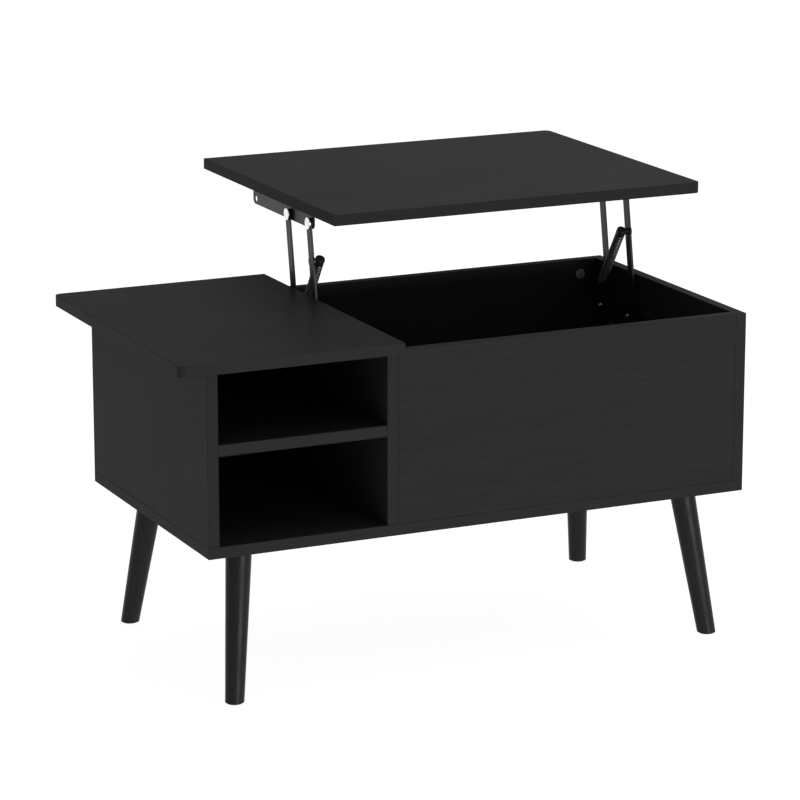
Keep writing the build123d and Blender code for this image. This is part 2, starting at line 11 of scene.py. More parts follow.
import bmesh
import bpy
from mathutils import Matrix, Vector

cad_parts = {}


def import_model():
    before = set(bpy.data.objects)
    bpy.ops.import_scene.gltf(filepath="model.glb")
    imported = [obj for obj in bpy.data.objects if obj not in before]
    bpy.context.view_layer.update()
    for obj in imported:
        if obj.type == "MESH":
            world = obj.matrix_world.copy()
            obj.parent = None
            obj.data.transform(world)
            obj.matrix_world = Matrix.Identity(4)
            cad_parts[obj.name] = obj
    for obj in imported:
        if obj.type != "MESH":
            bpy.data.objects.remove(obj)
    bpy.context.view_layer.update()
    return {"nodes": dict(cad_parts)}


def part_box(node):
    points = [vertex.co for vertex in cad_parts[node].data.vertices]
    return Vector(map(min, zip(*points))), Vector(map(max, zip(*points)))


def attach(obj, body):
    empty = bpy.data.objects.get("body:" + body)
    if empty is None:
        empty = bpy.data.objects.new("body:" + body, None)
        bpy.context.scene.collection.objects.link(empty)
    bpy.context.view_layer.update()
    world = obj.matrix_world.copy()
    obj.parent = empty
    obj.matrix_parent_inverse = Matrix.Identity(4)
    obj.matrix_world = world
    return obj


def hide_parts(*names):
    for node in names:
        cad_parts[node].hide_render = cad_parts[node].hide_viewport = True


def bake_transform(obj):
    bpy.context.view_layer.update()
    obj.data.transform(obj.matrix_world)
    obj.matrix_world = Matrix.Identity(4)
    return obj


LOG = logging.getLogger("table")
MM = 0.001
UP = Vector((0.0, 0.0, 1.0))
DOWN = Vector((0.0, 0.0, -1.0))

SMOOTH_UP_TO = math.radians(38.0)
ON_AXIS = 1e-9
WELD_DISTANCE = 1e-6
PLACE_DIGITS = 5
COLOUR_MIX_INPUTS = (0, 6, 7)
COLOUR_MIX_RESULT = 2

Profile = Sequence[tuple[float, float]]
Triple = tuple[float, float, float]
Colour = Triple


class Grain(Enum):
    """The axis that a board's wood grain runs along."""

    LENGTH = 0
    DEPTH = 1


class Recess(Enum):
    """The driver recess in a screw's head."""

    CROSS = "cross"
    HEX = "hex"


# Shader building


@dataclass(frozen=True)
class Texture:
    """A noise pattern: repeats for each metre on each axis, octaves, and weight of the finer octaves."""

    scale: Triple
    detail: float = 3.0
    roughness: float = 0.55


@dataclass(frozen=True)
class GrainTexture:
    """A noise pattern that is longer along a board's grain, by its stretch, than across it."""

    across: float
    stretch: float
    detail: float = 3.0
    roughness: float = 0.55

    def along(self, grain: Grain) -> Texture:
        """The pattern laid on a board.

        Args:
            grain: the board's grain axis.

        Returns:
            The pattern with its three scales.
        """
        scale = [self.across, self.across, self.across]
        scale[grain.value] = self.across / self.stretch
        return Texture(tuple(scale), self.detail, self.roughness)


@dataclass(frozen=True)
class Ramp:
    """A smooth step that maps low..high to start..end."""

    low: float
    high: float
    start: float = 0.0
    end: float = 1.0


class ShaderSheet:
    """One material's node tree, with short ways to add the nodes that the finishes share."""

    def __init__(self, name: str) -> None:
        """Start an empty tree with a Principled shader.

        Args:
            name: the material's name.
        """
        self.material = bpy.data.materials.new(name)
        self.material.use_nodes = True
        self.tree = self.material.node_tree
        self.tree.nodes.clear()
        self.output = self.tree.nodes.new("ShaderNodeOutputMaterial")
        self.shader = self.tree.nodes.new("ShaderNodeBsdfPrincipled")
        self.tree.links.new(self.shader.outputs["BSDF"], self.output.inputs["Surface"])

    def add(self, kind: str, **settings: Any) -> bpy.types.Node:
        """Add a node and set its properties.

        Args:
            kind: the node's type.
            settings: its properties.

        Returns:
            The node.
        """
        node = self.tree.nodes.new(kind)
        for key, value in settings.items():
            setattr(node, key, value)
        return node

    def put(self, value: Any, socket: bpy.types.NodeSocket) -> None:
        """Link a socket to an input, or set the input to a constant.

        Args:
            value: an output socket or a constant.
            socket: the input.
        """
        if isinstance(value, bpy.types.NodeSocket):
            self.tree.links.new(value, socket)
        else:
            socket.default_value = value

    def maths(self, operation: str, *values: Any) -> bpy.types.NodeSocket:
        """A Math node.

        Args:
            operation: the Math node's operation.
            values: its inputs in order.

        Returns:
            Its output socket.
        """
        node = self.add("ShaderNodeMath", operation=operation)
        for place, value in enumerate(values):
            self.put(value, node.inputs[place])
        return node.outputs[0]

    def step(self, value: Any, ramp: Ramp) -> bpy.types.NodeSocket:
        """A number through a smooth step.

        Args:
            value: the number to map.
            ramp: the step.

        Returns:
            The mapped number's socket.
        """
        node = self.add("ShaderNodeMapRange", interpolation_type="SMOOTHSTEP")
        for place, item in enumerate((value, ramp.low, ramp.high, ramp.start, ramp.end)):
            self.put(item, node.inputs[place])
        return node.outputs["Result"]

    def noise(self, texture: Texture, shift: Sequence[float] = (0.0, 0.0, 0.0),
              turn: Sequence[float] = (0.0, 0.0, 0.0)) -> bpy.types.NodeSocket:
        """A noise over the piece's own coordinates.

        Args:
            texture: the pattern.
            shift: moves the pattern, after the scale.
            turn: turns the pattern, in radians.

        Returns:
            The noise's factor.
        """
        source = self.add("ShaderNodeTexCoord").outputs["Object"]
        mapping = self.add("ShaderNodeMapping")
        self.put(source, mapping.inputs["Vector"])
        mapping.inputs["Location"].default_value = shift
        mapping.inputs["Rotation"].default_value = turn
        mapping.inputs["Scale"].default_value = texture.scale
        node = self.add("ShaderNodeTexNoise")
        self.put(mapping.outputs["Vector"], node.inputs["Vector"])
        node.inputs["Scale"].default_value = 1.0
        node.inputs["Detail"].default_value = texture.detail
        node.inputs["Roughness"].default_value = texture.roughness
        return node.outputs["Fac"]

    def mix(self, factor: Any, first: Any, second: Any) -> bpy.types.NodeSocket:
        """Mix two colours.

        Args:
            factor: share of the second colour.
            first: a colour or socket.
            second: a colour or socket.

        Returns:
            The mixed colour's socket.
        """
        node = self.add("ShaderNodeMix", data_type="RGBA", blend_type="MIX", clamp_factor=True)
        for place, item in zip(COLOUR_MIX_INPUTS, (factor, first, second)):
            self.put(rgba(item) if isinstance(item, tuple) else item, node.inputs[place])
        return node.outputs[COLOUR_MIX_RESULT]

    def bump(self, height: Any, distance: float) -> None:
        """Relief on the shader's normal.

        Args:
            height: the relief's socket.
            distance: how high 1 stands, in metres.
        """
        node = self.add("ShaderNodeBump")
        node.inputs["Strength"].default_value = 1.0
        node.inputs["Distance"].default_value = distance
        self.put(height, node.inputs["Height"])
        self.put(node.outputs["Normal"], self.shader.inputs["Normal"])

    def surface(self, **values: Any) -> bpy.types.Material:
        """Set the shader's inputs by name, with underscores for spaces.

        Args:
            values: constants or sockets.

        Returns:
            The finished material.
        """
        for name, value in values.items():
            socket = self.shader.inputs[name.replace("_", " ")]
            self.put(rgba(value) if isinstance(value, tuple) else value, socket)
        return self.material


def rgba(colour: tuple[float, ...]) -> tuple[float, ...]:
    """A colour with its alpha."""
    return (*colour, 1.0) if len(colour) == 3 else colour


def shifted(step: Triple, number: int) -> Triple:
    """How far the pattern of a numbered piece is moved."""
    return (step[0] * number, step[1] * number, step[2] * number)


# Finishes


@dataclass(frozen=True)
class Laminate:
    """Black wood-grain laminate with a matching edge band."""

    dark: Colour = (0.0178, 0.0178, 0.0181)
    light: Colour = (0.0204, 0.0204, 0.0208)
    worn: Colour = (0.034, 0.034, 0.034)
    pore_black: Colour = (0.006, 0.006, 0.006)
    seam_black: Colour = (0.003, 0.003, 0.003)
    fibres: GrainTexture = GrainTexture(420.0, 48.0, 6.0, 0.62)
    broad: GrainTexture = GrainTexture(26.0, 14.0)
    pores: GrainTexture = GrainTexture(1300.0, 42.0, 2.0)
    smears: Texture = Texture((9.0, 9.0, 9.0), 4.0)
    patches: Texture = Texture((90.0, 90.0, 90.0), 4.0)
    fibre_share: float = 0.8
    broad_share: float = 0.2
    open_pores: Ramp = Ramp(0.60, 0.72)
    tone: Ramp = Ramp(0.36, 0.66)
    pore_strength: float = 0.30
    rub: Ramp = Ramp(0.0, 0.0011, 1.0, 0.0)
    rub_patch: Ramp = Ramp(0.45, 0.7, 0.1, 0.7)
    seam_inset: float = 0.0006
    seam: Ramp = Ramp(0.0, 0.00018, 1.0, 0.0)
    seam_strength: float = 0.6
    satin: Ramp = Ramp(0.3, 0.7, 0.375, 0.405)
    pore_roughness: float = 0.12
    gloss_level: float = 0.012
    fibre_relief: float = 0.5
    seam_relief: float = 1.5
    pore_depth: float = 0.00006
    sheet_step: Triple = (3.7, 11.3, 5.9)

    def edge_distance(self, sheet: ShaderSheet, low: Vector, high: Vector) -> bpy.types.NodeSocket:
        """How far a point on the board is from the board's nearest edge.

        Args:
            sheet: the material's tree.
            low: the board's lowest corner.
            high: the board's highest corner.

        Returns:
            The distance's socket, in metres.
        """
        source = sheet.add("ShaderNodeTexCoord").outputs["Object"]
        split = sheet.add("ShaderNodeSeparateXYZ")
        sheet.put(source, split.inputs[0])
        gaps = []
        for axis in range(3):
            from_low = sheet.maths("SUBTRACT", split.outputs[axis], low[axis])
            from_high = sheet.maths("SUBTRACT", high[axis], split.outputs[axis])
            gaps.append(sheet.maths("MINIMUM", from_low, from_high))
        nearer = sheet.maths("MINIMUM", gaps[0], gaps[1])
        farther = sheet.maths("MAXIMUM", gaps[0], gaps[1])
        return sheet.maths("MAXIMUM", nearer, sheet.maths("MINIMUM", farther, gaps[2]))

    def make(self, name: str, grain: Grain, box: tuple[Sequence[float], Sequence[float]],
             sheet_number: int) -> bpy.types.Material:
        """The finish of one board.

        Args:
            name: the board's name.
            grain: its grain axis.
            box: its lowest and highest corner.
            sheet_number: moves the pattern, so that no two boards match.

        Returns:
            The material.
        """
        sheet = ShaderSheet("laminate_" + name)
        shift = shifted(self.sheet_step, sheet_number)
        fibre = sheet.noise(self.fibres.along(grain), shift)
        broad = sheet.noise(self.broad.along(grain), shift)
        pore = sheet.step(sheet.noise(self.pores.along(grain), shift), self.open_pores)
        figure = sheet.maths("ADD", sheet.maths("MULTIPLY", fibre, self.fibre_share),
                             sheet.maths("MULTIPLY", broad, self.broad_share))
        colour = sheet.mix(sheet.step(figure, self.tone), self.dark, self.light)
        colour = sheet.mix(sheet.maths("MULTIPLY", pore, self.pore_strength), colour, self.pore_black)
        near = self.edge_distance(sheet, Vector(box[0]), Vector(box[1]))
        patchy = sheet.step(sheet.noise(self.patches, shift), self.rub_patch)
        colour = sheet.mix(sheet.maths("MULTIPLY", sheet.step(near, self.rub), patchy), colour, self.worn)
        off_seam = sheet.maths("ABSOLUTE", sheet.maths("SUBTRACT", near, self.seam_inset))
        seam = sheet.step(off_seam, self.seam)
        colour = sheet.mix(sheet.maths("MULTIPLY", seam, self.seam_strength), colour, self.seam_black)
        roughness = sheet.step(sheet.noise(self.smears, shift), self.satin)
        roughness = sheet.maths("ADD", roughness, sheet.maths("MULTIPLY", pore, self.pore_roughness))
        relief = sheet.maths("SUBTRACT", sheet.maths("MULTIPLY", fibre, self.fibre_relief), pore)
        relief = sheet.maths("SUBTRACT", relief, sheet.maths("MULTIPLY", seam, self.seam_relief))
        sheet.bump(relief, self.pore_depth)
        return sheet.surface(Base_Color=colour, Roughness=roughness, Specular_IOR_Level=self.gloss_level)


@dataclass(frozen=True)
class Lacquer:
    """Black satin lacquer over turned wood."""

    dark: Colour = (0.0110, 0.0110, 0.0112)
    light: Colour = (0.0155, 0.0155, 0.0158)
    fibres: Texture = Texture((520.0, 520.0, 14.0), 5.0, 0.6)
    ripples: Texture = Texture((60.0, 60.0, 22.0))
    specks: Texture = Texture((1500.0, 1500.0, 1500.0), 1.0)
    tone: Ramp = Ramp(0.35, 0.68)
    satin: Ramp = Ramp(0.3, 0.7, 0.30, 0.40)
    gloss_level: float = 0.075
    fibre_relief: float = 0.6
    speck_relief: float = 0.25
    grain_depth: float = 0.00004
    leg_step: Triple = (2.3, 7.1, 1.7)

    def make(self, name: str, axis: Vector, number: int) -> bpy.types.Material:
        """The finish of one leg.

        Args:
            name: the leg's name.
            axis: the leg's direction.
            number: moves the pattern.

        Returns:
            The material.
        """
        sheet = ShaderSheet("lacquer_" + name)
        turn = tuple(axis.rotation_difference(UP).to_euler())
        shift = shifted(self.leg_step, number)
        fibre = sheet.noise(self.fibres, shift, turn)
        ripple = sheet.noise(self.ripples, shift, turn)
        specks = sheet.noise(self.specks, shift)
        colour = sheet.mix(sheet.step(fibre, self.tone), self.dark, self.light)
        relief = sheet.maths("ADD", sheet.maths("MULTIPLY", fibre, self.fibre_relief),
                             sheet.maths("MULTIPLY", specks, self.speck_relief))
        sheet.bump(sheet.maths("ADD", relief, ripple), self.grain_depth)
        return sheet.surface(Base_Color=colour, Roughness=sheet.step(ripple, self.satin),
                             Specular_IOR_Level=self.gloss_level)


@dataclass(frozen=True)
class PowderCoat:
    """Dark powder coat on pressed steel, rubbed thin where pieces slide past each other."""

    colour: Colour = (0.012, 0.012, 0.0125)
    pale: Colour = (0.019, 0.019, 0.0195)
    rubbed: Colour = (0.045, 0.045, 0.046)
    peel: Texture = Texture((1900.0, 1900.0, 1900.0))
    cloud: Texture = Texture((55.0, 55.0, 55.0), 4.0)
    scuffs: Texture = Texture((400.0, 60.0, 900.0), 3.0, 0.7)
    scuff_shift: Triple = (4.1, 0.7, 2.2)
    scuff: Ramp = Ramp(0.66, 0.74, 0.0, 0.6)
    tone: Ramp = Ramp(0.35, 0.65)
    satin: Ramp = Ramp(0.35, 0.65, 0.30, 0.42)
    cloud_roughness: float = 0.08
    metal: float = 0.25
    gloss_level: float = 0.22
    relief: float = 0.00002

    def make(self, name: str) -> bpy.types.Material:
        """The finish of one steel piece.

        Args:
            name: the piece's name.

        Returns:
            The material.
        """
        sheet = ShaderSheet("powder_coat_" + name)
        peel = sheet.noise(self.peel)
        cloud = sheet.noise(self.cloud)
        scuff = sheet.step(sheet.noise(self.scuffs, self.scuff_shift), self.scuff)
        colour = sheet.mix(sheet.step(cloud, self.tone), self.colour, self.pale)
        colour = sheet.mix(scuff, colour, self.rubbed)
        roughness = sheet.maths("ADD", sheet.step(peel, self.satin),
                                sheet.maths("MULTIPLY", cloud, self.cloud_roughness))
        sheet.bump(peel, self.relief)
        return sheet.surface(Base_Color=colour, Roughness=roughness, Metallic=self.metal,
                             Specular_IOR_Level=self.gloss_level)


@dataclass(frozen=True)
class BrightZinc:
    """Bright zinc plate on rivets, screws and bolts."""

    colour: Colour = (0.88, 0.88, 0.87)
    dull: Colour = (0.62, 0.62, 0.61)
    bloom: Texture = Texture((260.0, 260.0, 260.0), 4.0)
    scratches: Texture = Texture((2600.0, 500.0, 2600.0), 3.0, 0.7)
    dulling: Ramp = Ramp(0.45, 0.75)
    sheen: Ramp = Ramp(0.3, 0.7, 0.20, 0.36)
    scratch_sheen: Ramp = Ramp(0.55, 0.7, 0.0, 0.12)
    scratch_depth: float = 0.000008

    def make(self, name: str) -> bpy.types.Material:
        """The finish of one kind of fastener.

        Args:
            name: the fastener's name.

        Returns:
            The material.
        """
        sheet = ShaderSheet("bright_zinc_" + name)
        bloom = sheet.noise(self.bloom)
        scratch = sheet.noise(self.scratches)
        colour = sheet.mix(sheet.step(bloom, self.dulling), self.colour, self.dull)
        roughness = sheet.maths("ADD", sheet.step(bloom, self.sheen), sheet.step(scratch, self.scratch_sheen))
        sheet.bump(scratch, self.scratch_depth)
        return sheet.surface(Base_Color=colour, Roughness=roughness, Metallic=1.0)


@dataclass(frozen=True)
class CastZinc:
    """Dull die-cast zinc of the cam locks."""

    colour: Colour = (0.48, 0.48, 0.485)
    pit_black: Colour = (0.05, 0.05, 0.05)
    pits: Texture = Texture((1400.0, 1400.0, 1400.0), 4.0, 0.7)
    pitting: Ramp = Ramp(0.5, 0.72, 0.0, 0.7)
    sheen: Ramp = Ramp(0.3, 0.7, 0.38, 0.6)
    metal: float = 0.9
    pit_depth: float = 0.00003

    def make(self) -> bpy.types.Material:
        """The finish of the cams."""
        sheet = ShaderSheet("cast_zinc")
        pits = sheet.noise(self.pits)
        colour = sheet.mix(sheet.step(pits, self.pitting), self.colour, self.pit_black)
        sheet.bump(pits, self.pit_depth)
        return sheet.surface(Base_Color=colour, Roughness=sheet.step(pits, self.sheen), Metallic=self.metal)


@dataclass(frozen=True)
class SpringWire:
    """Oiled black spring wire."""

    colour: Colour = (0.045, 0.045, 0.046)
    shine: Colour = (0.130, 0.130, 0.133)
    drawing: Texture = Texture((900.0, 900.0, 900.0), 3.0, 0.65)
    film: Texture = Texture((120.0, 120.0, 120.0))
    bright: Ramp = Ramp(0.42, 0.7, 0.0, 0.8)
    sheen: Ramp = Ramp(0.3, 0.7, 0.24, 0.40)
    metal: float = 0.75
    draw_depth: float = 0.000012

    def make(self) -> bpy.types.Material:
        """The finish of the springs."""
        sheet = ShaderSheet("spring_wire")
        drawn = sheet.noise(self.drawing)
        film = sheet.noise(self.film)
        colour = sheet.mix(sheet.step(drawn, self.bright), self.colour, self.shine)
        sheet.bump(drawn, self.draw_depth)
        return sheet.surface(Base_Color=colour, Roughness=sheet.step(film, self.sheen), Metallic=self.metal)


@dataclass(frozen=True)
class Nylon:
    """Black moulded nylon of the glides and washers."""

    colour: Colour = (0.010, 0.010, 0.010)
    scuffed: Colour = (0.035, 0.035, 0.035)
    spark: Texture = Texture((2300.0, 2300.0, 2300.0), 2.0)
    scuffs: Texture = Texture((180.0, 180.0, 180.0), 4.0)
    scuff: Ramp = Ramp(0.5, 0.75, 0.0, 0.5)
    satin: Ramp = Ramp(0.3, 0.7, 0.48, 0.62)
    gloss_level: float = 0.4
    spark_depth: float = 0.00002

    def make(self, name: str) -> bpy.types.Material:
        """The finish of one kind of nylon piece.

        Args:
            name: the piece's name.

        Returns:
            The material.
        """
        sheet = ShaderSheet("nylon_" + name)
        spark = sheet.noise(self.spark)
        scuff = sheet.step(sheet.noise(self.scuffs), self.scuff)
        colour = sheet.mix(scuff, self.colour, self.scuffed)
        sheet.bump(spark, self.spark_depth)
        return sheet.surface(Base_Color=colour, Roughness=sheet.step(spark, self.satin),
                             Specular_IOR_Level=self.gloss_level)


@dataclass(frozen=True)
class Beech:
    """Plain beech of the dowels."""

    pale: Colour = (0.52, 0.36, 0.20)
    deep: Colour = (0.34, 0.21, 0.10)
    fibres: Texture = Texture((700.0, 700.0, 90.0), 4.0, 0.65)
    tone: Ramp = Ramp(0.35, 0.68)
    sheen: Ramp = Ramp(0.3, 0.7, 0.55, 0.7)
    fibre_depth: float = 0.00005

    def make(self, name: str) -> bpy.types.Material:
        """The finish of one row of dowels.

        Args:
            name: the row's name.

        Returns:
            The material.
        """
        sheet = ShaderSheet("beech_" + name)
        fibre = sheet.noise(self.fibres)
        sheet.bump(fibre, self.fibre_depth)
        return sheet.surface(Base_Color=sheet.mix(sheet.step(fibre, self.tone), self.pale, self.deep),
                             Roughness=sheet.step(fibre, self.sheen))


# Mesh building


def finished_object(name: str, mesh: bpy.types.Mesh, material: bpy.types.Material) -> bpy.types.Object:
    """Put a mesh in the scene as a smooth-shaded piece.

    Args:
        name: the piece's name.
        mesh: its mesh, already in place.
        material: its finish.

    Returns:
        The object, at the origin.
    """
    mesh.materials.clear()
    mesh.materials.append(material)
    for polygon in mesh.polygons:
        polygon.use_smooth = True
        polygon.material_index = 0
    mesh.set_sharp_from_angle(angle=SMOOTH_UP_TO)
    piece = bpy.data.objects.new(name, mesh)
    bpy.context.scene.collection.objects.link(piece)
    return piece


def turns_round(count: int) -> list[float]:
    """Evenly spaced angles, once round a circle."""
    return [math.tau * step / count for step in range(count)]


def closed_mesh(name: str, shape: bmesh.types.BMesh) -> bpy.types.Mesh:
    """Turn a shape's faces outwards and make it a mesh.

    Args:
        name: the mesh's name.
        shape: the closed shape, which is freed.

    Returns:
        The mesh.
    """
    bmesh.ops.recalc_face_normals(shape, faces=shape.faces)
    mesh = bpy.data.meshes.new(name)
    shape.to_mesh(mesh)
    shape.free()
    return mesh


def lathe(name: str, profile: Profile, segments: int = 32) -> bpy.types.Mesh:
    """Turn a profile round the Z axis.

    Args:
        name: the mesh's name.
        profile: radius and height pairs, from the lower end on the axis to the upper end on the axis.
        segments: steps round the axis.

    Returns:
        A closed mesh with outward faces.
    """
    shape = bmesh.new()
    rings = []
    for radius, height in profile:
        if radius < ON_AXIS:
            rings.append([shape.verts.new((0.0, 0.0, height))])
            continue
        rings.append([shape.verts.new((radius * math.cos(turn), radius * math.sin(turn), height))
                      for turn in turns_round(segments)])
    for lower, upper in zip(rings, rings[1:]):
        for step in range(segments):
            following = (step + 1) % segments
            corners = [lower[step % len(lower)], lower[following % len(lower)],
                       upper[following % len(upper)], upper[step % len(upper)]]
            unique = list(dict.fromkeys(corners))
            if len(unique) > 2:
                shape.faces.new(unique)
    return closed_mesh(name, shape)


def prism(name: str, outline: Profile, low: float, high: float, taper: float) -> bpy.types.Mesh:
    """A prism along Z that narrows towards its lower end.

    Args:
        name: the mesh's name.
        outline: corners in X and Y.
        low: lower end.
        high: upper end.
        taper: the lower end's share of the outline.

    Returns:
        A closed mesh with outward faces.
    """
    shape = bmesh.new()
    bottom = [shape.verts.new((x * taper, y * taper, low)) for x, y in outline]
    top = [shape.verts.new((x, y, high)) for x, y in outline]
    shape.faces.new(bottom[::-1])
    shape.faces.new(top)
    for step in range(len(outline)):
        following = (step + 1) % len(outline)
        shape.faces.new((bottom[step], bottom[following], top[following], top[step]))
    return closed_mesh(name, shape)


def carved(name: str, body: bpy.types.Mesh, cutters: Sequence[bpy.types.Mesh]) -> bpy.types.Mesh:
    """Cut shapes out of a mesh.

    Args:
        name: the result's name.
        body: what is cut.
        cutters: what is taken out.

    Returns:
        The carved mesh.
    """
    holder = bpy.data.objects.new(name + "_blank", body)
    bpy.context.scene.collection.objects.link(holder)
    helpers = []
    for cutter in cutters:
        helper = bpy.data.objects.new(name + "_cutter", cutter)
        bpy.context.scene.collection.objects.link(helper)
        cut = holder.modifiers.new("cut", "BOOLEAN")
        cut.operation = "DIFFERENCE"
        cut.solver = "EXACT"
        cut.object = helper
        helpers.append(helper)
    bpy.context.view_layer.update()
    graph = bpy.context.evaluated_depsgraph_get()
    mesh = bpy.data.meshes.new_from_object(holder.evaluated_get(graph), depsgraph=graph)
    for spare in [holder, *helpers]:
        bpy.data.objects.remove(spare)
    mesh.name = name
    return mesh


def tube(name: str, path: Sequence[Vector], radius: float, sides: int = 8) -> bpy.types.Mesh:
    """A round wire along a path, closed at both ends.

    Args:
        name: the mesh's name.
        path: the wire's middle line.
        radius: the wire's radius.
        sides: faces round the wire.

    Returns:
        A closed mesh with outward faces.
    """
    shape = bmesh.new()
    tangent = (path[1] - path[0]).normalized()
    side = tangent.orthogonal().normalized()
    rings = []
    for place, point in enumerate(path):
        ahead = path[min(place + 1, len(path) - 1)]
        behind = path[max(place - 1, 0)]
        heading = (ahead - behind).normalized()
        side = (tangent.rotation_difference(heading) @ side).normalized()
        side = (side - heading * side.dot(heading)).normalized()
        tangent = heading
        other = tangent.cross(side)
        rings.append([shape.verts.new(point + (side * math.cos(turn) + other * math.sin(turn)) * radius)
                      for turn in turns_round(sides)])
    for first, second in zip(rings, rings[1:]):
        for step in range(sides):
            following = (step + 1) % sides
            shape.faces.new((first[step], first[following], second[following], second[step]))
    shape.faces.new(rings[0][::-1])
    shape.faces.new(rings[-1])
    return closed_mesh(name, shape)


@dataclass(frozen=True)
class SolidBox:
    """The box round one solid of a CAD node."""

    low: Vector
    high: Vector

    @property
    def middle(self) -> Vector:
        """The box's centre."""
        return (self.low + self.high) / 2


def solids_of(node: bpy.types.Object) -> list[SolidBox]:
    """The boxes of a CAD node's separate solids.

    Args:
        node: the CAD node's object, whose mesh is only read.

    Returns:
        One box for each solid, sorted by place.
    """
    shape = bmesh.new()
    shape.from_mesh(node.data)
    bmesh.ops.remove_doubles(shape, verts=shape.verts, dist=WELD_DISTANCE)
    waiting = set(shape.verts)
    boxes = []
    while waiting:
        edge_of_search = [waiting.pop()]
        found = []
        while edge_of_search:
            vertex = edge_of_search.pop()
            found.append(vertex.co.copy())
            for edge in vertex.link_edges:
                other = edge.other_vert(vertex)
                if other in waiting:
                    waiting.remove(other)
                    edge_of_search.append(other)
        low = Vector([min(point[axis] for point in found) for axis in range(3)])
        high = Vector([max(point[axis] for point in found) for axis in range(3)])
        boxes.append(SolidBox(low, high))
    shape.free()
    return sorted(boxes, key=lambda box: tuple(round(value, PLACE_DIGITS) for value in box.middle))


# Geometry Nodes: one fastener repeated over its seats


class SeatCopies:
    """A node tree that stands a template on each seat, facing the way that the seat says."""

    def __init__(self) -> None:
        """Build the tree with its named inputs."""
        self.tree = bpy.data.node_groups.new("SeatCopies", "GeometryNodeTree")
        face = self.tree.interface
        face.new_socket("Seats", in_out="INPUT", socket_type="NodeSocketGeometry")
        face.new_socket("Template", in_out="INPUT", socket_type="NodeSocketObject")
        face.new_socket("Size", in_out="INPUT", socket_type="NodeSocketFloat").default_value = 1.0
        face.new_socket("Turn Range", in_out="INPUT", socket_type="NodeSocketFloat").default_value = 1.5
        face.new_socket("Seed", in_out="INPUT", socket_type="NodeSocketInt").default_value = 3
        face.new_socket("Finish", in_out="INPUT", socket_type="NodeSocketMaterial")
        face.new_socket("Copies", in_out="OUTPUT", socket_type="NodeSocketGeometry")
        self.build()

    def build(self) -> None:
        """Add and link the nodes, ending in Realize Instances and Set Material."""
        nodes, link = self.tree.nodes, self.tree.links.new
        entry = nodes.new("NodeGroupInput")
        leave = nodes.new("NodeGroupOutput")
        facing = nodes.new("GeometryNodeInputNamedAttribute")
        facing.data_type = "FLOAT_VECTOR"
        facing.inputs["Name"].default_value = "facing"
        align = nodes.new("FunctionNodeAlignRotationToVector")
        align.axis = "Z"
        link(facing.outputs["Attribute"], align.inputs["Vector"])
        chance = nodes.new("FunctionNodeRandomValue")
        chance.data_type = "FLOAT"
        floats = [socket for socket in chance.inputs if socket.enabled and socket.name in ("Min", "Max")]
        floats[0].default_value = 0.0
        link(entry.outputs["Turn Range"], floats[1])
        link(entry.outputs["Seed"], chance.inputs["Seed"])
        spin = nodes.new("FunctionNodeAxisAngleToRotation")
        spin.inputs["Axis"].default_value = (0.0, 0.0, 1.0)
        link([socket for socket in chance.outputs if socket.enabled][0], spin.inputs["Angle"])
        turned = nodes.new("FunctionNodeRotateRotation")
        turned.rotation_space = "LOCAL"
        link(align.outputs["Rotation"], turned.inputs["Rotation"])
        link(spin.outputs["Rotation"], turned.inputs["Rotate By"])
        template = nodes.new("GeometryNodeObjectInfo")
        link(entry.outputs["Template"], template.inputs["Object"])
        copies = nodes.new("GeometryNodeInstanceOnPoints")
        link(entry.outputs["Seats"], copies.inputs["Points"])
        link(template.outputs["Geometry"], copies.inputs["Instance"])
        link(turned.outputs["Rotation"], copies.inputs["Rotation"])
        link(entry.outputs["Size"], copies.inputs["Scale"])
        real = nodes.new("GeometryNodeRealizeInstances")
        link(copies.outputs["Instances"], real.inputs["Geometry"])
        finish = nodes.new("GeometryNodeSetMaterial")
        link(real.outputs["Geometry"], finish.inputs["Geometry"])
        link(entry.outputs["Finish"], finish.inputs["Material"])
        link(finish.outputs["Geometry"], leave.inputs["Copies"])

    def identifier(self, name: str) -> str:
        """The identifier of a named input."""
        found = [item for item in self.tree.interface.items_tree
                 if item.name == name and item.in_out == "INPUT"]
        return found[0].identifier

    def repeat(self, name: str, template: bpy.types.Mesh, seats: Sequence[tuple[Vector, Vector]],
               material: bpy.types.Material, seed: int) -> bpy.types.Object:
        """Stand the template on every seat and turn the result into one plain mesh.

        Args:
            name: the piece's name.
            template: the fastener, with its seat at z = 0 and its head above.
            seats: places and outward directions.
            material: the finish.
            seed: fixes how each copy is turned.

        Returns:
            The finished piece.
        """
        points = bpy.data.meshes.new(name + "_seats")
        points.from_pydata([tuple(place) for place, _ in seats], [], [])
        facing = points.attributes.new("facing", "FLOAT_VECTOR", "POINT")
        facing.data.foreach_set("vector", [value for _, way in seats for value in way])
        carrier = bpy.data.objects.new(name + "_carrier", points)
        pattern = bpy.data.objects.new(name + "_pattern", template)
        for helper in (carrier, pattern):
            bpy.context.scene.collection.objects.link(helper)
        modifier = carrier.modifiers.new("copies", "NODES")
        modifier.node_group = self.tree
        modifier[self.identifier("Template")] = pattern
        modifier[self.identifier("Seed")] = seed
        modifier[self.identifier("Finish")] = material
        bpy.context.view_layer.update()
        graph = bpy.context.evaluated_depsgraph_get()
        mesh = bpy.data.meshes.new_from_object(carrier.evaluated_get(graph), depsgraph=graph)
        carrier.modifiers.remove(modifier)
        for helper in (carrier, pattern):
            bpy.data.objects.remove(helper)
        mesh.name = name
        return finished_object(name, mesh, material)


# Sub-assemblies


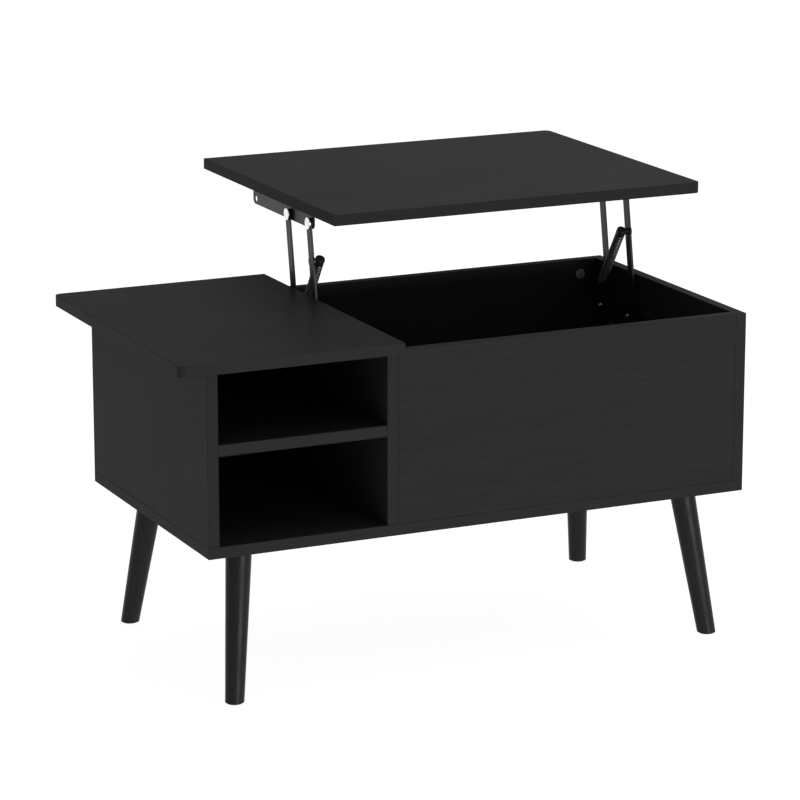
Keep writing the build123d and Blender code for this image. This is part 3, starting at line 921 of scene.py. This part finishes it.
@dataclass
class Boards:
    """The carcass boards, the side top and the lid."""

    finish: Laminate = field(default_factory=Laminate)
    grains: dict[str, Grain] = field(default_factory=lambda: {
        "bottom_board": Grain.LENGTH,
        "left_side_panel": Grain.DEPTH,
        "right_side_panel": Grain.DEPTH,
        "divider_panel": Grain.DEPTH,
        "front_panel": Grain.LENGTH,
        "back_panel": Grain.LENGTH,
        "shelf_board": Grain.LENGTH,
        "side_top": Grain.LENGTH,
        "lid_top": Grain.LENGTH,
    })

    def dress(self, nodes: dict[str, bpy.types.Object]) -> None:
        """Give each board its own sheet of laminate.

        Args:
            nodes: the CAD nodes by name.
        """
        for number, (name, grain) in enumerate(self.grains.items(), start=1):
            dress(nodes[name], self.finish.make(name, grain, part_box(name), number))


def dress(node: bpy.types.Object, material: bpy.types.Material) -> None:
    """Put a finish on every slot of a CAD node.

    Args:
        node: the CAD node's object.
        material: the finish.
    """
    if not node.material_slots:
        node.data.materials.append(material)
    for place in node.material_slots:
        place.material = material
    LOG.info("dressed %s with %s", node.name, material.name)


@dataclass
class Legs:
    """Four turned legs on nylon glides, with their steel plates."""

    names: tuple[str, ...] = ("front_left_leg", "front_right_leg", "rear_left_leg", "rear_right_leg")
    foot_reach: float = 0.0386
    foot_spread: float = 0.0246
    height: float = 0.211

    def direction(self, name: str) -> Vector:
        """The leg's direction, up from its foot.

        Args:
            name: the leg's name, which says its corner.

        Returns:
            The direction.
        """
        side = -1.0 if "left" in name else 1.0
        end = -1.0 if "front" in name else 1.0
        return Vector((-side * self.foot_spread, -end * self.foot_reach, self.height)).normalized()

    def dress(self, nodes: dict[str, bpy.types.Object]) -> None:
        """Lacquer the legs and finish what holds them.

        Args:
            nodes: the CAD nodes by name.
        """
        for number, name in enumerate(self.names, start=1):
            dress(nodes[name], Lacquer().make(name, self.direction(name), number))
        dress(nodes["leg_plates"], PowderCoat().make("leg_plates"))
        dress(nodes["hanger_bolts"], BrightZinc().make("hanger_bolts"))
        dress(nodes["foot_glides"], Nylon().make("foot_glides"))


@dataclass
class LiftMechanism:
    """Arms, brackets, plates, pivots and posts of both lift mechanisms."""

    steel: tuple[str, ...] = ("base_plate", "front_arm", "rear_arm", "lid_bracket")
    dark: tuple[str, ...] = ("lower_spring_posts", "upper_spring_posts", "upper_spring_ends")
    bright: tuple[str, ...] = ("lower_pivot_rivets", "upper_pivot_rivets")
    washers: tuple[str, ...] = ("lower_pivot_spacers", "upper_pivot_washers")

    def dress(self, nodes: dict[str, bpy.types.Object]) -> None:
        """Finish each piece of both mechanisms.

        Args:
            nodes: the CAD nodes by name.
        """
        for side in ("left", "right"):
            for kind in self.steel:
                name = side + "_" + kind
                dress(nodes[name], PowderCoat().make(name))
        for name in self.dark:
            dress(nodes[name], PowderCoat().make(name))
        for name in self.bright:
            dress(nodes[name], BrightZinc().make(name))
        for name in self.washers:
            dress(nodes[name], Nylon().make(name))


@dataclass
class LiftSprings:
    """The two close-wound extension springs, hooked at the bottom and held in an end piece at the top."""

    wire_radius: float = 1.1 * MM
    coil_radius: float = 5.9 * MM
    pitch: float = 2.25 * MM
    hook_radius: float = 4.25 * MM
    run_in: float = 2.6 * MM
    end_clear: float = 7.4 * MM
    steps_per_turn: int = 18
    hook_steps: int = 22
    hook_sweep: float = math.radians(300.0)

    def path(self, start: Vector, end: Vector) -> list[Vector]:
        """The wire's middle line from one post's centre to the other's.

        Args:
            start: the lower post's centre.
            end: the upper post's centre.

        Returns:
            Points along the wire.
        """
        way = (end - start).normalized()
        across = Vector((1.0, 0.0, 0.0))
        beside = way.cross(across).normalized()
        span = (end - start).length
        coil_start = self.hook_radius + self.run_in
        coil_length = span - coil_start - self.end_clear
        turns = round(coil_length / self.pitch)
        steps = turns * self.steps_per_turn
        points = []
        for step in range(self.hook_steps, 0, -1):
            angle = self.hook_sweep * step / self.hook_steps
            points.append(start + (way * math.cos(angle) + beside * math.sin(angle)) * self.hook_radius)
        points.append(start + way * self.hook_radius)
        run_steps = self.steps_per_turn // 2
        for step in range(1, run_steps + 1):
            share = step / run_steps
            angle = math.pi * (share - 1.0)
            radius = self.coil_radius * share * share * (3.0 - 2.0 * share)
            points.append(self.round_point(start + way * (self.hook_radius + self.run_in * share),
                                           across, beside, angle, radius))
        for step in range(1, steps + 1):
            share = step / steps
            points.append(self.round_point(start + way * (coil_start + coil_length * share), across, beside,
                                           math.tau * turns * share, self.coil_radius))
        return points

    def round_point(self, middle: Vector, across: Vector, beside: Vector, angle: float,
                    radius: float) -> Vector:
        """A point round the spring's axis.

        Args:
            middle: the point on the axis.
            across: the direction at angle 0.
            beside: the direction at a quarter turn.
            angle: the turn.
            radius: the distance from the axis.

        Returns:
            The point.
        """
        return middle + (across * math.cos(angle) + beside * math.sin(angle)) * radius

    def build(self, nodes: dict[str, bpy.types.Object]) -> None:
        """Wind both springs between their posts.

        Args:
            nodes: the CAD nodes by name.
        """
        material = SpringWire().make()
        ends = solids_of(nodes["upper_spring_ends"])
        lower_posts = solids_of(nodes["lower_spring_posts"])
        upper_posts = solids_of(nodes["upper_spring_posts"])
        for place, side in enumerate(("left", "right")):
            depth = ends[place].middle.x
            low = lower_posts[place].middle
            high = upper_posts[place].middle
            start = Vector((depth, low.y, low.z))
            end = Vector((depth, high.y, high.z))
            mesh = tube(side + "_spring_coil", self.path(start, end), self.wire_radius)
            piece = finished_object(side + "_spring_coil", mesh, material)
            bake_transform(piece)
            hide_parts(side + "_lift_spring")
            LOG.info("wound %s with %d points", piece.name, len(mesh.vertices))


@dataclass(frozen=True)
class Shank:
    """A threaded shank: its outer radius, its length below the seat, and the thread's pitch and depth."""

    radius: float
    length: float
    pitch: float
    depth: float
    tip_pitches: float = 2.0
    tip_root: float = 0.5
    root_after_crest: float = 0.35

    @property
    def core(self) -> float:
        """The radius at the thread's root."""
        return self.radius - self.depth

    def profile(self, top: float) -> list[tuple[float, float]]:
        """The shank's outline, with a pointed end.

        Args:
            top: the height where the thread stops, below the seat.

        Returns:
            Profile points from the tip upwards.
        """
        points = [(0.0, -self.length)]
        height = -self.length + self.tip_pitches * self.pitch
        points.append((self.core, height - self.tip_root * self.pitch))
        while height < top - self.pitch:
            points.append((self.radius, height))
            points.append((self.core, height + self.root_after_crest * self.pitch))
            height += self.pitch
        points.append((self.core, top))
        return points


@dataclass
class Screws:
    """Every screw, each with its driver recess and its threaded shank."""

    wood_shank: Shank = Shank(1.9 * MM, 13.0 * MM, 1.5 * MM, 0.35 * MM)
    pan_radius: float = 4.25 * MM
    pan_height: float = 2.4 * MM
    pan_neck: float = 0.2 * MM
    pan_chamfer: float = 0.15 * MM
    pan_rim: float = 0.2 * MM
    dome_share: float = 0.6
    dome_steps: int = 5
    dome_turn: float = 16.0
    dome_inset: float = 1.1
    dome_rise: float = 0.985
    flush_radius: float = 3.6 * MM
    flush_height: float = 2.2 * MM
    flush_neck: float = 0.3 * MM
    flush_edge: float = 0.15 * MM
    flush_chamfer: float = 0.1 * MM
    confirmat_shank: Shank = Shank(3.3 * MM, 48.0 * MM, 3.0 * MM, 0.7 * MM)
    confirmat_thread_top: float = -16.0 * MM
    confirmat_plain_from: float = -15.0 * MM
    confirmat_head: float = 5.0 * MM
    confirmat_head_height: float = 4.0 * MM
    confirmat_edge: float = 0.3 * MM
    confirmat_chamfer: float = 0.2 * MM
    recess_spare: float = 0.4 * MM
    hex_across_flats: float = 4.0 * MM
    hex_depth: float = 2.8 * MM
    hex_taper: float = 0.96
    cross_reach: float = 2.3 * MM
    cross_width: float = 0.95 * MM
    cross_depth: float = 1.5 * MM
    cross_taper: float = 0.55
    seeds: dict[str, int] = field(default_factory=lambda: {
        "base_plate_screws": 5,
        "lid_bracket_screws": 7,
        "leg_plate_screws": 11,
        "confirmat_screws": 13,
    })

    def cross(self, top: float) -> list[bpy.types.Mesh]:
        """The two crossing wedges of a cross recess in a head whose top is at a height."""
        half = self.cross_width / 2
        arms = []
        for x, y in ((self.cross_reach, half), (half, self.cross_reach)):
            outline = ((x, y), (-x, y), (-x, -y), (x, -y))
            arms.append(prism("recess", outline, top - self.cross_depth, top + self.recess_spare,
                              self.cross_taper))
        return arms

    def hexagon(self, top: float) -> list[bpy.types.Mesh]:
        """The socket of a hex key in a head whose top is at a height."""
        radius = self.hex_across_flats / math.sqrt(3.0)
        outline = [(radius * math.cos(turn), radius * math.sin(turn)) for turn in turns_round(6)]
        return [prism("recess", outline, top - self.hex_depth, top + self.recess_spare, self.hex_taper)]

    def recess(self, kind: Recess, top: float) -> list[bpy.types.Mesh]:
        """The cutters of a driver recess.

        Args:
            kind: the recess.
            top: the height of the head's top.

        Returns:
            The cutters.
        """
        return self.hexagon(top) if kind is Recess.HEX else self.cross(top)

    def pan(self) -> bpy.types.Mesh:
        """A pan head wood screw, its seat at z = 0."""
        profile = self.wood_shank.profile(-self.pan_neck)
        profile += [(self.wood_shank.core, 0.0), (self.pan_radius - self.pan_chamfer, 0.0),
                    (self.pan_radius, self.pan_rim)]
        bend = self.pan_height * self.dome_share
        profile.append((self.pan_radius, self.pan_height - bend))
        for step in range(1, self.dome_steps + 1):
            turn = math.radians(self.dome_turn * step)
            profile.append((self.pan_radius - bend * (1.0 - math.cos(turn)) * self.dome_inset,
                            self.pan_height - bend + bend * math.sin(turn) * self.dome_rise))
        profile.append((0.0, self.pan_height))
        return carved("pan_screw", lathe("pan_screw", profile), self.recess(Recess.CROSS, self.pan_height))

    def flush(self) -> bpy.types.Mesh:
        """A countersunk wood screw, its flat top at z = 0."""
        profile = self.wood_shank.profile(-self.flush_height - self.flush_neck)
        profile += [(self.wood_shank.radius, -self.flush_height), (self.flush_radius, -self.flush_edge),
                    (self.flush_radius - self.flush_chamfer, 0.0), (0.0, 0.0)]
        return carved("flush_screw", lathe("flush_screw", profile), self.recess(Recess.CROSS, 0.0))

    def confirmat(self) -> bpy.types.Mesh:
        """A confirmat screw with a hex socket, its flat top at z = 0."""
        profile = self.confirmat_shank.profile(self.confirmat_thread_top)
        profile += [(self.confirmat_shank.radius, self.confirmat_plain_from),
                    (self.confirmat_shank.radius, -self.confirmat_head_height),
                    (self.confirmat_head, -self.confirmat_edge),
                    (self.confirmat_head - self.confirmat_chamfer, 0.0), (0.0, 0.0)]
        return carved("confirmat", lathe("confirmat", profile), self.recess(Recess.HEX, 0.0))

    def seats_on_walls(self, node: bpy.types.Object) -> list[tuple[Vector, Vector]]:
        """Seats of pan heads that face each other across the box.

        Args:
            node: the CAD node of the screws.

        Returns:
            Places and inward directions.
        """
        boxes = solids_of(node)
        middle = sum(box.middle.x for box in boxes) / len(boxes)
        seats = []
        for box in boxes:
            inward = 1.0 if box.middle.x < middle else -1.0
            face = box.high.x - self.pan_height if inward > 0 else box.low.x + self.pan_height
            seats.append((Vector((face, box.middle.y, box.middle.z)), Vector((inward, 0.0, 0.0))))
        return seats

    def seats_below(self, node: bpy.types.Object, head: float = 0.0) -> list[tuple[Vector, Vector]]:
        """Seats of screws that are driven from below.

        Args:
            node: the CAD node of the screws.
            head: how far the head stands out of its seat.

        Returns:
            Places and downward directions.
        """
        return [(Vector((box.middle.x, box.middle.y, box.low.z + head)), DOWN) for box in solids_of(node)]

    def build(self, nodes: dict[str, bpy.types.Object], copies: SeatCopies) -> None:
        """Put every screw on its seat.

        Args:
            nodes: the CAD nodes by name.
            copies: the tree that repeats a fastener.
        """
        wall_seats = self.seats_on_walls(nodes["base_plate_screws"])
        lid_seats = self.seats_below(nodes["lid_bracket_screws"], self.pan_height)
        leg_seats = self.seats_below(nodes["leg_plate_screws"])
        bottom_seats = self.seats_below(nodes["confirmat_screws"])
        self.seat("base_plate_screws", self.pan(), wall_seats, "root", copies)
        self.seat("lid_bracket_screws", self.pan(), lid_seats, "lid", copies)
        self.seat("leg_plate_screws", self.flush(), leg_seats, "root", copies)
        self.seat("confirmat_screws", self.confirmat(), bottom_seats, "root", copies)

    def seat(self, node: str, template: bpy.types.Mesh, seats: list[tuple[Vector, Vector]], body: str,
             copies: SeatCopies) -> None:
        """Make one kind of screw and let it stand for its CAD node.

        Args:
            node: the CAD node's name.
            template: the screw.
            seats: places and outward directions.
            body: the CAD body that the screws ride on.
            copies: the tree that repeats a fastener.
        """
        finish = BrightZinc().make(node)
        piece = copies.repeat("fine_" + node, template, seats, finish, self.seeds[node])
        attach(piece, body)
        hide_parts(node)
        LOG.info("seated %s: %d screws", piece.name, len(seats))


@dataclass
class JoineryPieces:
    """What joins the boards and is mostly out of sight: cams, their bolts and dowels."""

    def dress(self, nodes: dict[str, bpy.types.Object]) -> None:
        """Finish the joinery.

        Args:
            nodes: the CAD nodes by name.
        """
        dress(nodes["cam_locks"], CastZinc().make())
        dress(nodes["cam_bolts"], BrightZinc().make("cam_bolts"))
        for name in ("side_top_dowels", "panel_dowels"):
            dress(nodes[name], Beech().make(name))


@dataclass(frozen=True)
class Softbox:
    """A large soft light: where it hangs, the point that it faces, its size and its power in watts."""

    name: str
    place: Triple
    aim: Triple
    width: float
    height: float
    watts: float

    def hang(self) -> None:
        """Put the light in the scene."""
        light = bpy.data.lights.new(self.name, "AREA")
        light.shape = "RECTANGLE"
        light.size = self.width
        light.size_y = self.height
        light.energy = self.watts
        holder = bpy.data.objects.new(self.name, light)
        holder.location = self.place
        holder.rotation_euler = (Vector(self.aim) - Vector(self.place)).to_track_quat("-Z", "Y").to_euler()
        bpy.context.scene.collection.objects.link(holder)


@dataclass
class Studio:
    """A pale floor, soft lights and the camera."""

    floor_half: float = 40.0
    floor_drop: float = 0.0002
    floor_grey: Colour = (0.20, 0.20, 0.20)
    floor_rough: float = 0.9
    floor_glow: float = 0.935
    eye: Triple = (-2.10622, -4.57403, 1.58683)
    level: float = 90.0
    tilt_down: float = 14.225
    heading: float = 25.033
    lens: float = 161.459
    sensor: float = 36.0
    farthest: float = 200.0
    white: Colour = (1.0, 1.0, 1.0)
    world_grey: float = 0.40
    softboxes: tuple[Softbox, ...] = (
        Softbox("overhead", (1.2, 0.6, 3.2), (0.0, 0.0, 0.3), 3.4, 3.4, 68.0),
        Softbox("front", (0.9, -4.6, 0.35), (0.0, 0.0, 0.3), 2.4, 0.6, 120.0),
        Softbox("right", (3.4, -1.2, 1.8), (0.0, 0.0, 0.4), 1.6, 2.2, 15.0),
    )

    def floor(self) -> None:
        """The floor, which fills the view behind the table."""
        reach = self.floor_half
        corners = [(x, y, -self.floor_drop)
                   for x, y in ((-reach, -reach), (reach, -reach), (reach, reach), (-reach, reach))]
        mesh = bpy.data.meshes.new("studio_floor")
        mesh.from_pydata(corners, [], [(0, 1, 2, 3)])
        sheet = ShaderSheet("studio_floor")
        mesh.materials.append(sheet.surface(Base_Color=self.floor_grey, Roughness=self.floor_rough,
                                            Specular_IOR_Level=0.0, Emission_Color=self.white,
                                            Emission_Strength=self.floor_glow))
        floor = bpy.data.objects.new("studio_floor", mesh)
        bpy.context.scene.collection.objects.link(floor)

    def camera(self) -> None:
        """The camera, not rolled to either side."""
        data = bpy.data.cameras.new("camera")
        data.lens = self.lens
        data.sensor_width = self.sensor
        data.clip_end = self.farthest
        holder = bpy.data.objects.new("camera", data)
        holder.location = self.eye
        holder.rotation_euler = (math.radians(self.level - self.tilt_down), 0.0, math.radians(-self.heading))
        bpy.context.scene.collection.objects.link(holder)
        bpy.context.scene.camera = holder

    def world(self) -> None:
        """An even, dim sky."""
        world = bpy.data.worlds.new("studio")
        world.use_nodes = True
        back = world.node_tree.nodes["Background"]
        back.inputs["Color"].default_value = rgba(self.white)
        back.inputs["Strength"].default_value = self.world_grey
        bpy.context.scene.world = world

    def build(self) -> None:
        """Set up the whole studio."""
        self.floor()
        self.world()
        for softbox in self.softboxes:
            softbox.hang()
        self.camera()
        bpy.context.scene.view_settings.view_transform = "Standard"


def main() -> None:
    """Build the finishes, springs, screws and studio in order."""
    logging.basicConfig(level=logging.INFO, format="%(name)s %(message)s")
    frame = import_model()
    nodes = frame["nodes"]
    Boards().dress(nodes)
    Legs().dress(nodes)
    LiftMechanism().dress(nodes)
    JoineryPieces().dress(nodes)
    LiftSprings().build(nodes)
    Screws().build(nodes, SeatCopies())
    Studio().build()


if __name__ == "__main__":
    main()
